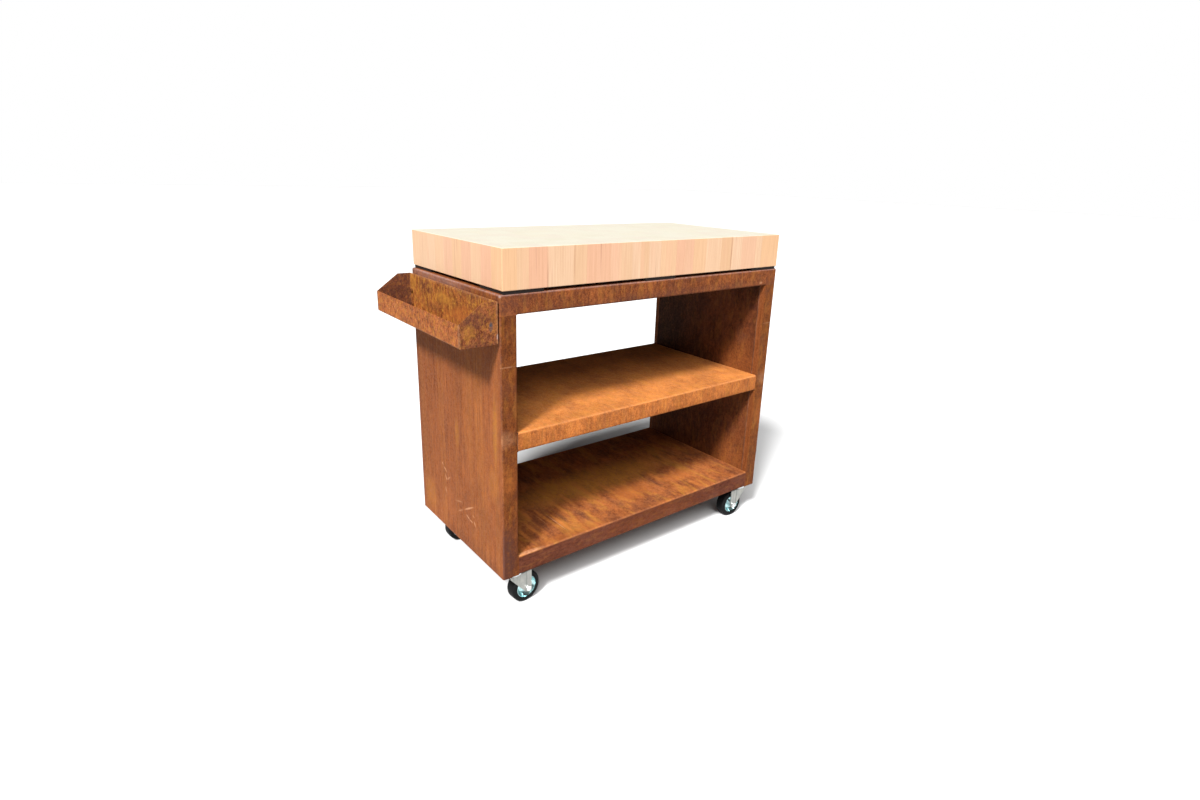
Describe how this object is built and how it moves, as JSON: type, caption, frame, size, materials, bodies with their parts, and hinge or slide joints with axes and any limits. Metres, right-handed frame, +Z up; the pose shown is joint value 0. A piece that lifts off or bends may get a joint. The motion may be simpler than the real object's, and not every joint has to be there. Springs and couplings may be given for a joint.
{
  "type": "outdoor work table",
  "caption": "Rolling outdoor work table: thick butcher-block top on a rust-coloured steel cabinet, open front and back, with a shelf, side tray and swivel castors.",
  "frame": {"origin": "on the floor under the middle of the table's outline, tray included", "axes": "+X along the table, to the right of a person at the front; +Y to the back; +Z up"},
  "size_m": [0.9934, 0.454, 0.869],
  "materials": {
    "butcher_block": "oiled",
    "weathering_steel": "rusted, matte",
    "bright_steel": "zinc plated",
    "zinc_steel": "bright zinc plated",
    "tyre_rubber": "matte",
    "pad_rubber": "matte"
  },
  "bodies": {
    "cabinet": {"castor_bolts": "bright_steel", "castor_head_back_left": "zinc_steel", "castor_head_back_right": "zinc_steel", "castor_head_front_left": "zinc_steel", "castor_head_front_right": "zinc_steel", "castor_nuts": "bright_steel", "castor_plates": "weathering_steel", "castor_retainers": "bright_steel", "castor_washers": "bright_steel", "floor_pan": "weathering_steel", "left_inner_skin": "weathering_steel", "left_side_skin": "weathering_steel", "middle_shelf": "weathering_steel", "right_inner_skin": "weathering_steel", "right_side_skin": "weathering_steel", "top_deck": "weathering_steel", "tray_back_end": "weathering_steel", "tray_bolts": "bright_steel", "tray_front_end": "weathering_steel", "tray_pan": "weathering_steel", "tray_rivet_nuts": "bright_steel", "tray_spacers": "bright_steel", "worktop_block": "butcher_block", "worktop_pads": "pad_rubber", "worktop_screws": "bright_steel", "worktop_washers": "bright_steel"},
    "swivel_front_left": {"fork_front_left": "zinc_steel", "axle_bolt_front_left": "zinc_steel", "axle_nut_front_left": "zinc_steel", "castor_balls_front_left": "zinc_steel"},
    "swivel_front_right": {"fork_front_right": "zinc_steel", "axle_bolt_front_right": "zinc_steel", "axle_nut_front_right": "zinc_steel", "castor_balls_front_right": "zinc_steel"},
    "swivel_back_left": {"fork_back_left": "zinc_steel", "axle_bolt_back_left": "zinc_steel", "axle_nut_back_left": "zinc_steel", "castor_balls_back_left": "zinc_steel"},
    "swivel_back_right": {"fork_back_right": "zinc_steel", "axle_bolt_back_right": "zinc_steel", "axle_nut_back_right": "zinc_steel", "castor_balls_back_right": "zinc_steel"},
    "wheel_front_left": {"tyre_front_left": "tyre_rubber", "outer_rim_front_left": "zinc_steel", "inner_rim_front_left": "zinc_steel", "hub_front_left": "zinc_steel"},
    "wheel_front_right": {"tyre_front_right": "tyre_rubber", "outer_rim_front_right": "zinc_steel", "inner_rim_front_right": "zinc_steel", "hub_front_right": "zinc_steel"},
    "wheel_back_left": {"tyre_back_left": "tyre_rubber", "outer_rim_back_left": "zinc_steel", "inner_rim_back_left": "zinc_steel", "hub_back_left": "zinc_steel"},
    "wheel_back_right": {"tyre_back_right": "tyre_rubber", "outer_rim_back_right": "zinc_steel", "inner_rim_back_right": "zinc_steel", "hub_back_right": "zinc_steel"}
  },
  "joints": [
    {"name": "front_left_swivel", "type": "hinge", "parent": "cabinet", "child": "swivel_front_left", "pos_m": [-0.36225, -0.194, 0.097], "axis": [0, 0, 1], "continuous": true},
    {"name": "front_right_swivel", "type": "hinge", "parent": "cabinet", "child": "swivel_front_right", "pos_m": [0.45575, -0.194, 0.097], "axis": [0, 0, 1], "continuous": true},
    {"name": "back_left_swivel", "type": "hinge", "parent": "cabinet", "child": "swivel_back_left", "pos_m": [-0.36225, 0.157, 0.097], "axis": [0, 0, 1], "continuous": true},
    {"name": "back_right_swivel", "type": "hinge", "parent": "cabinet", "child": "swivel_back_right", "pos_m": [0.45575, 0.157, 0.097], "axis": [0, 0, 1], "continuous": true},
    {"name": "front_left_roll", "type": "hinge", "parent": "swivel_front_left", "child": "wheel_front_left", "pos_m": [-0.32938, -0.19112, 0.04], "axis": [-0.0872, 0.9962, 0], "continuous": true},
    {"name": "front_right_roll", "type": "hinge", "parent": "swivel_front_right", "child": "wheel_front_right", "pos_m": [0.42277, -0.19285, 0.04], "axis": [-0.0349, -0.9994, 0], "continuous": true},
    {"name": "back_left_roll", "type": "hinge", "parent": "swivel_back_left", "child": "wheel_back_left", "pos_m": [-0.32926, 0.15758, 0.04], "axis": [-0.0175, 0.9998, 0], "continuous": true},
    {"name": "back_right_roll", "type": "hinge", "parent": "swivel_back_right", "child": "wheel_back_right", "pos_m": [0.4236, 0.14958, 0.04], "axis": [0.225, -0.9744, 0], "continuous": true}
  ]
}
